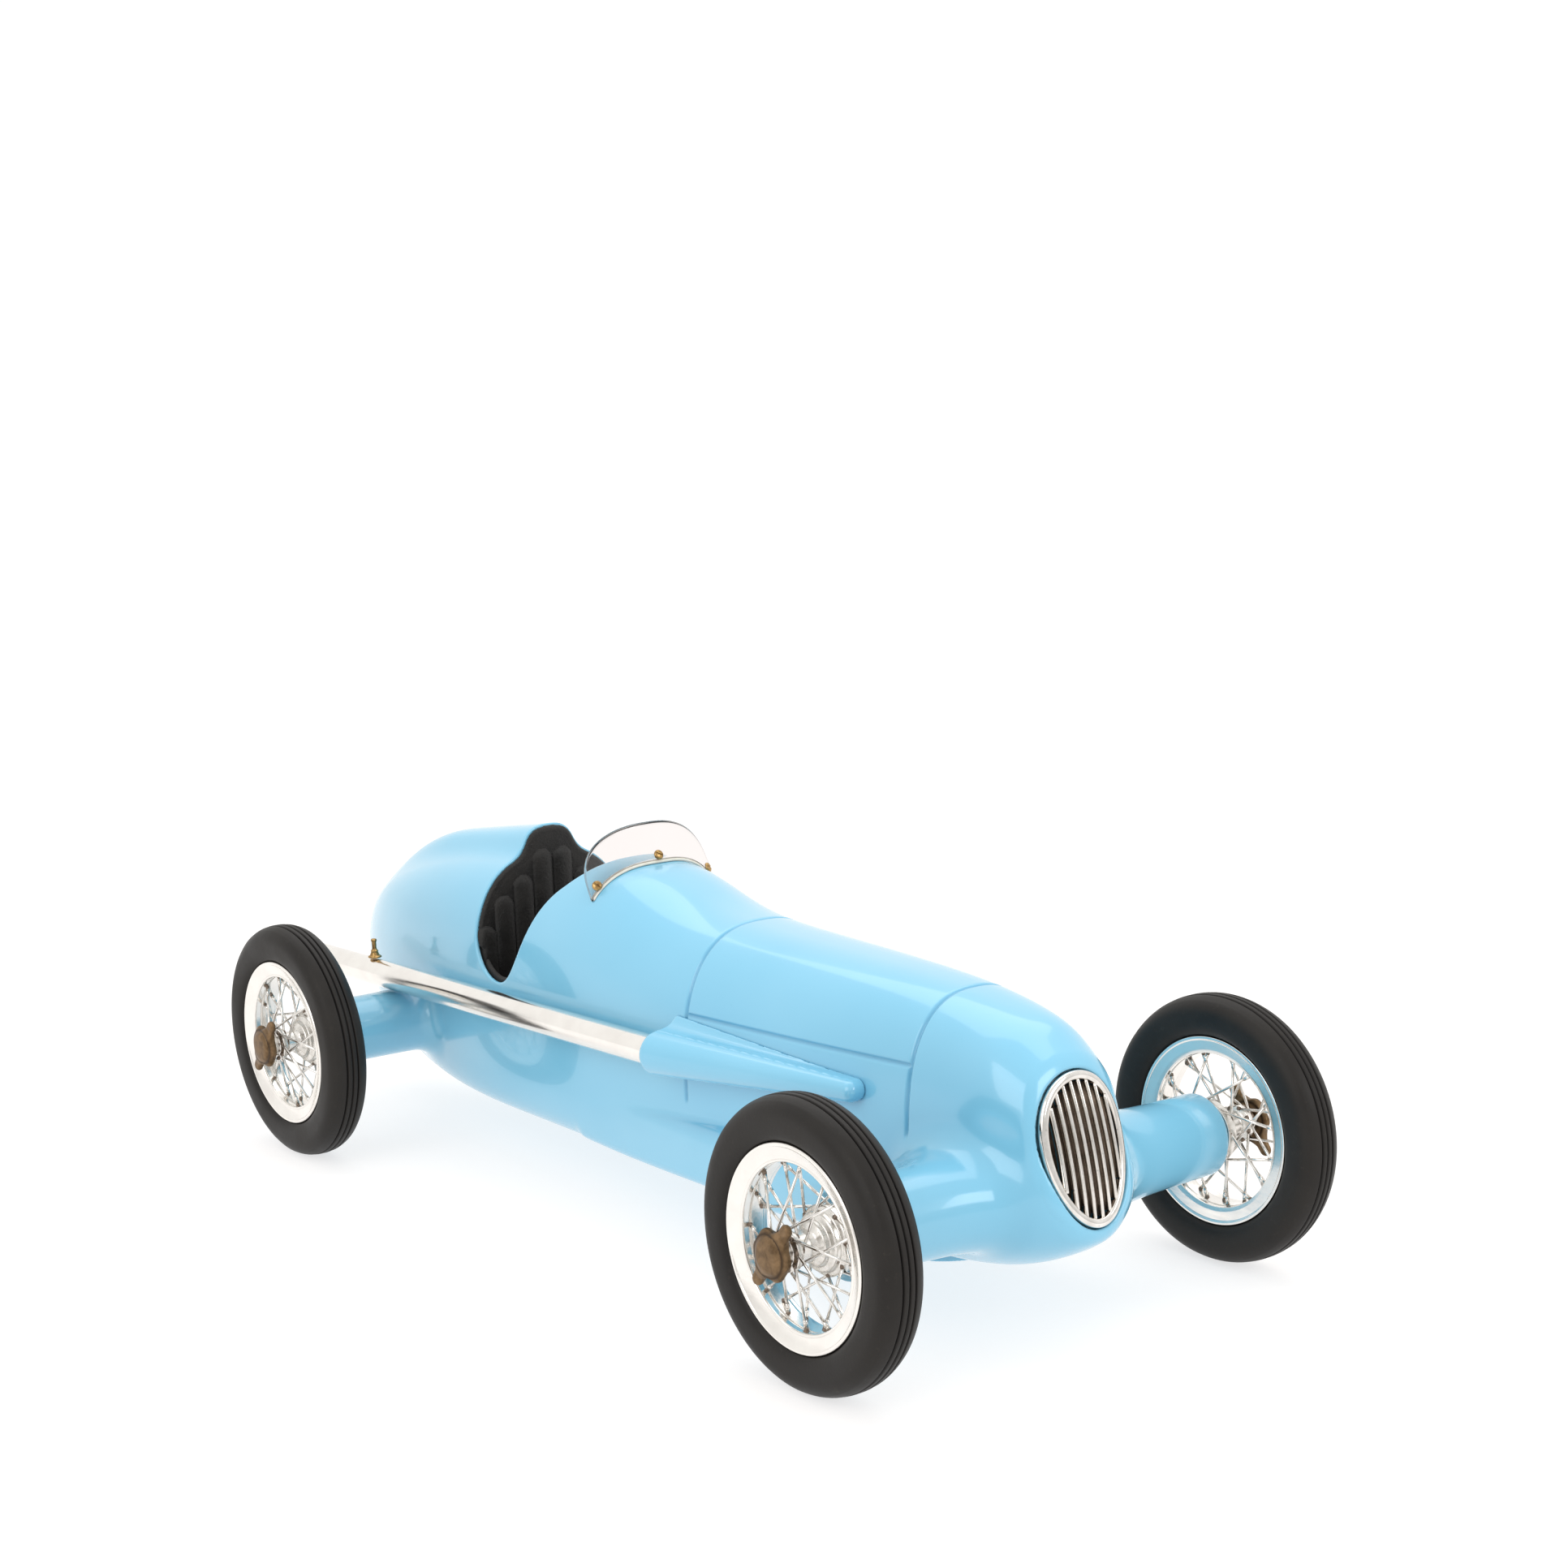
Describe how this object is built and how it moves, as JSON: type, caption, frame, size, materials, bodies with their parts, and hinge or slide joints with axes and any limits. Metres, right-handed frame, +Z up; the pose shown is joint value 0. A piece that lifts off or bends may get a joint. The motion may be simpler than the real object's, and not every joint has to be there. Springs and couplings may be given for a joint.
{
  "type": "model racing car",
  "caption": "Tabletop streamlined 1930s racing car model with wire wheels that spin, side exhaust, oval grille and aero screen.",
  "frame": {"origin": "on the ground under the middle of the overall box, on the car's centre plane", "axes": "+X forward towards the grille, +Y to the car's left, +Z up"},
  "size_m": [0.3012, 0.137, 0.089],
  "materials": {
    "paint": "gloss sky-blue paint",
    "chrome": "bright plated",
    "polished_metal": "polished",
    "tyre_rubber": "satin",
    "brass": "satin",
    "bronze": "antique bronze, dull",
    "upholstery": "black, fluted",
    "clear_sheet": "clear, polished edge"
  },
  "bodies": {
    "body": {"body_shell": "paint", "belly_pan": "paint", "pan_screw_rear": "chrome", "pan_screw_front": "chrome", "grille_surround": "chrome", "grille_insert": "chrome", "cockpit_liner": "upholstery", "seat_back": "upholstery", "seat_cushion": "upholstery", "windscreen": "clear_sheet", "screen_screw_left": "brass", "screen_screw_centre": "brass", "screen_screw_right": "brass", "exhaust_fairing": "paint", "exhaust_pipe": "polished_metal", "pipe_pin": "brass", "front_axle": "chrome", "rear_axle": "chrome", "front_left_axle_collar": "chrome", "front_right_axle_collar": "chrome", "rear_left_axle_collar": "chrome", "rear_right_axle_collar": "chrome"},
    "front_left_wheel": {"front_left_tyre": "tyre_rubber", "front_left_rim": "chrome", "front_left_spokes": "chrome", "front_left_hub": "chrome", "front_left_knock_off": "bronze"},
    "front_right_wheel": {"front_right_tyre": "tyre_rubber", "front_right_rim": "chrome", "front_right_spokes": "chrome", "front_right_hub": "chrome", "front_right_knock_off": "bronze"},
    "rear_left_wheel": {"rear_left_tyre": "tyre_rubber", "rear_left_rim": "chrome", "rear_left_spokes": "chrome", "rear_left_hub": "chrome", "rear_left_knock_off": "bronze"},
    "rear_right_wheel": {"rear_right_tyre": "tyre_rubber", "rear_right_rim": "chrome", "rear_right_spokes": "chrome", "rear_right_hub": "chrome", "rear_right_knock_off": "bronze"}
  },
  "joints": [
    {"name": "front_left_wheel_spin", "type": "hinge", "parent": "body", "child": "front_left_wheel", "pos_m": [0.12065, 0.0576, 0.03], "axis": [0, 1, 0], "continuous": true},
    {"name": "front_right_wheel_spin", "type": "hinge", "parent": "body", "child": "front_right_wheel", "pos_m": [0.12065, -0.0576, 0.03], "axis": [0, 1, 0], "continuous": true},
    {"name": "rear_left_wheel_spin", "type": "hinge", "parent": "body", "child": "rear_left_wheel", "pos_m": [-0.09265, 0.0576, 0.03], "axis": [0, 1, 0], "continuous": true},
    {"name": "rear_right_wheel_spin", "type": "hinge", "parent": "body", "child": "rear_right_wheel", "pos_m": [-0.09265, -0.0576, 0.03], "axis": [0, 1, 0], "continuous": true}
  ]
}
